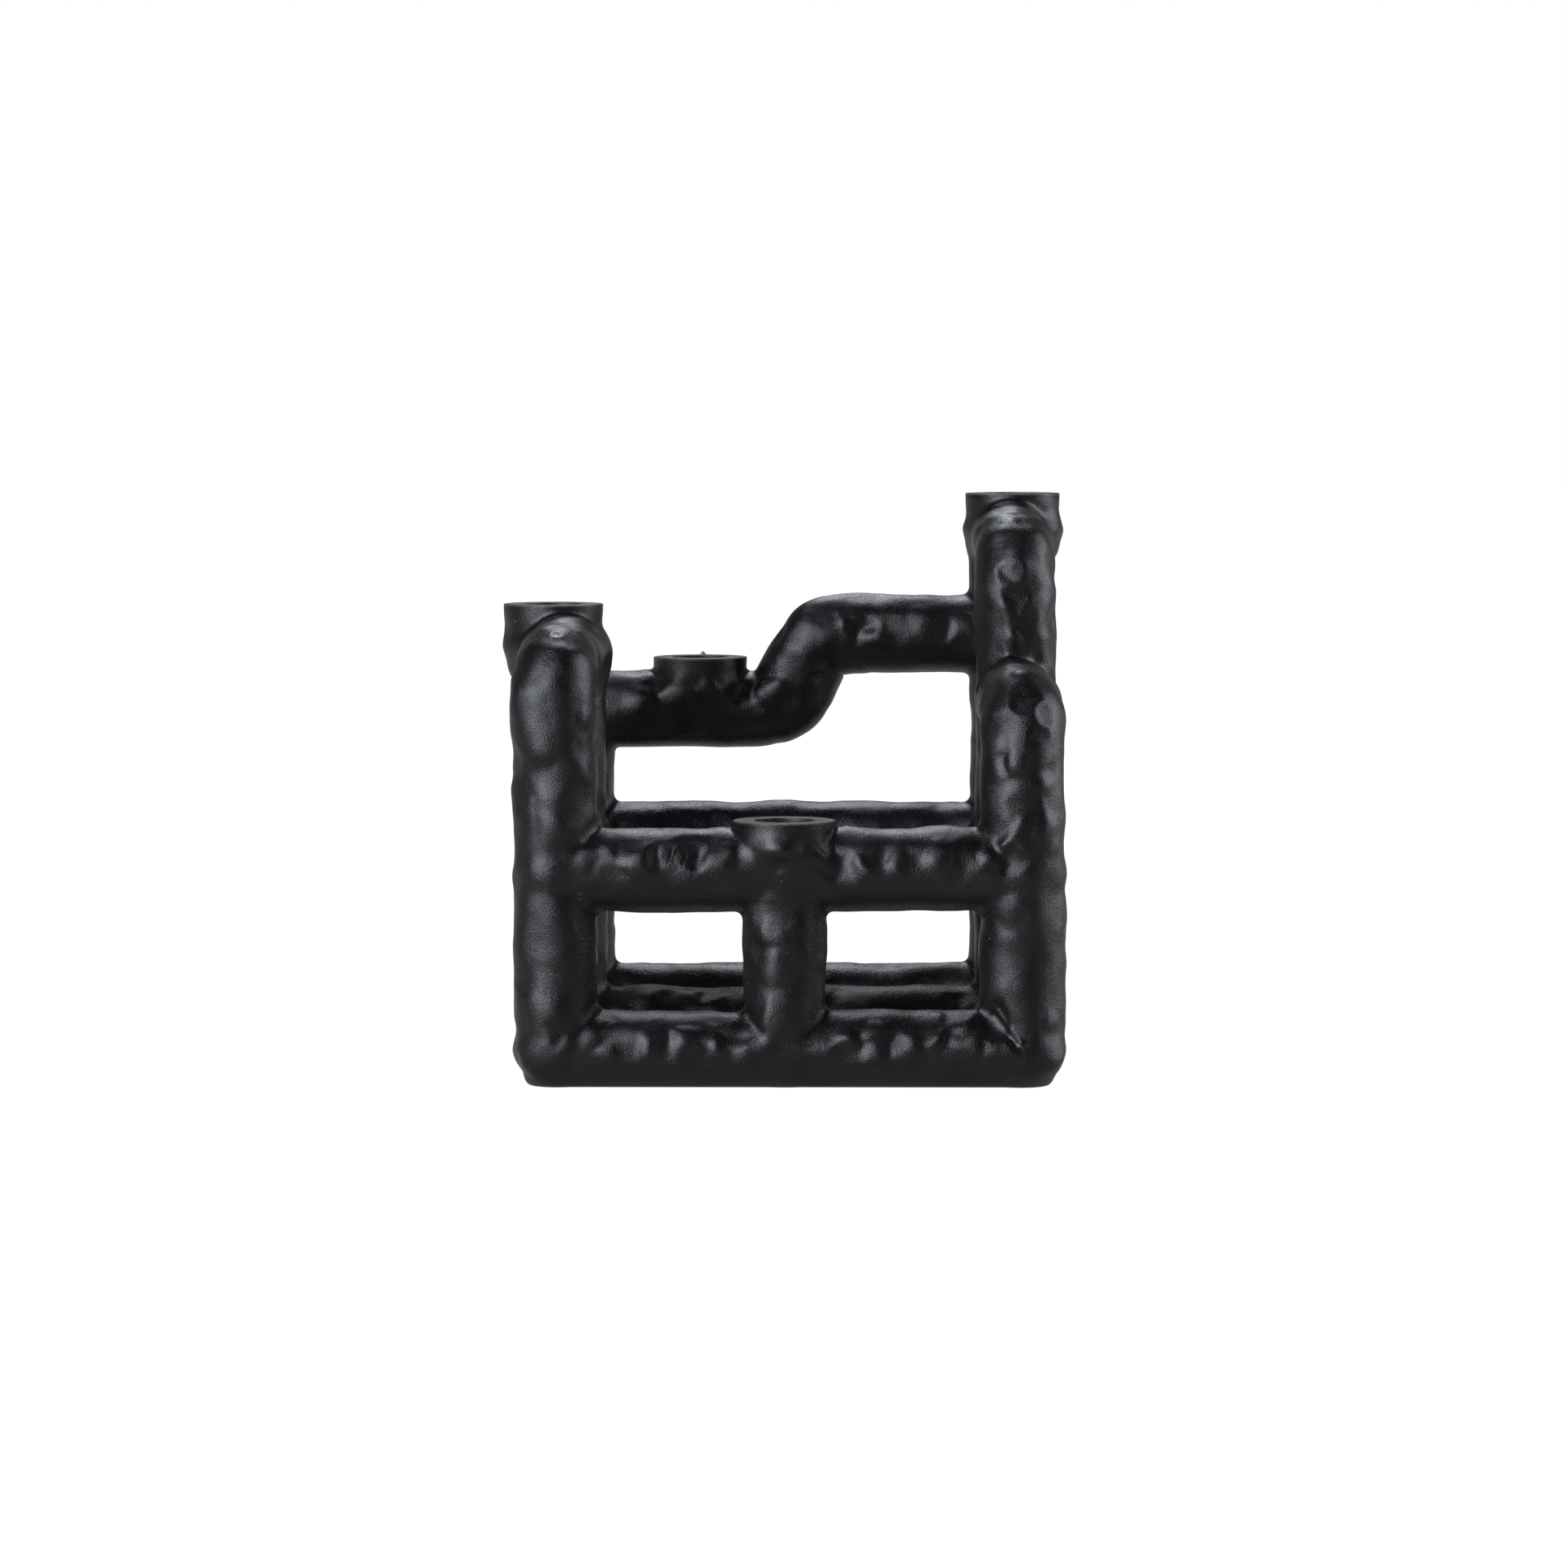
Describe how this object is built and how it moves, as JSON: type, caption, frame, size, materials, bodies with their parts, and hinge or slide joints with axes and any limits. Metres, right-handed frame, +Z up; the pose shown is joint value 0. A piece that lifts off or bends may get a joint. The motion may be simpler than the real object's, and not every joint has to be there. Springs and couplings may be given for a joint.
{
  "type": "tabletop candelabra",
  "caption": "Free-standing lattice of thick round tubes with taper candle cups at stepped heights, dented by hand and coated matt black.",
  "frame": {"origin": "on the ground-flat underside, under the middle of the middle base rail", "axes": "+Z up, the front with the lowest cup faces -Y, +X to the right as seen from the front"},
  "size_m": [0.2213, 0.2144, 0.219],
  "materials": {
    "coated_tube": "satin",
    "coated_cup": "satin"
  },
  "bodies": {
    "root": {"front_candle_cup": "coated_cup", "left_candle_cup": "coated_cup", "back_candle_cup": "coated_cup", "right_candle_cup": "coated_cup", "front_left_post": "coated_tube", "middle_left_post": "coated_tube", "back_left_post": "coated_tube", "front_right_post": "coated_tube", "middle_right_post": "coated_tube", "back_right_post": "coated_tube", "front_centre_post": "coated_tube", "front_left_elbow": "coated_tube", "back_left_elbow": "coated_tube", "front_right_elbow": "coated_tube", "middle_right_elbow": "coated_tube", "left_top_link": "coated_tube", "right_low_link": "coated_tube", "right_top_link": "coated_tube", "front_base_rail": "coated_tube", "middle_base_rail": "coated_tube", "back_base_rail": "coated_tube", "front_mid_rail_left": "coated_tube", "front_mid_rail_right": "coated_tube", "back_mid_rail": "coated_tube", "back_low_rail": "coated_tube", "back_step_bend": "coated_tube", "back_high_rail": "coated_tube", "left_base_side_rail_front": "coated_tube", "left_mid_side_rail_front": "coated_tube", "left_base_side_rail_back": "coated_tube", "left_mid_side_rail_back": "coated_tube", "right_base_side_rail_front": "coated_tube", "right_mid_side_rail_front": "coated_tube", "right_base_side_rail_back": "coated_tube", "right_mid_side_rail_back": "coated_tube"}
  },
  "joints": []
}
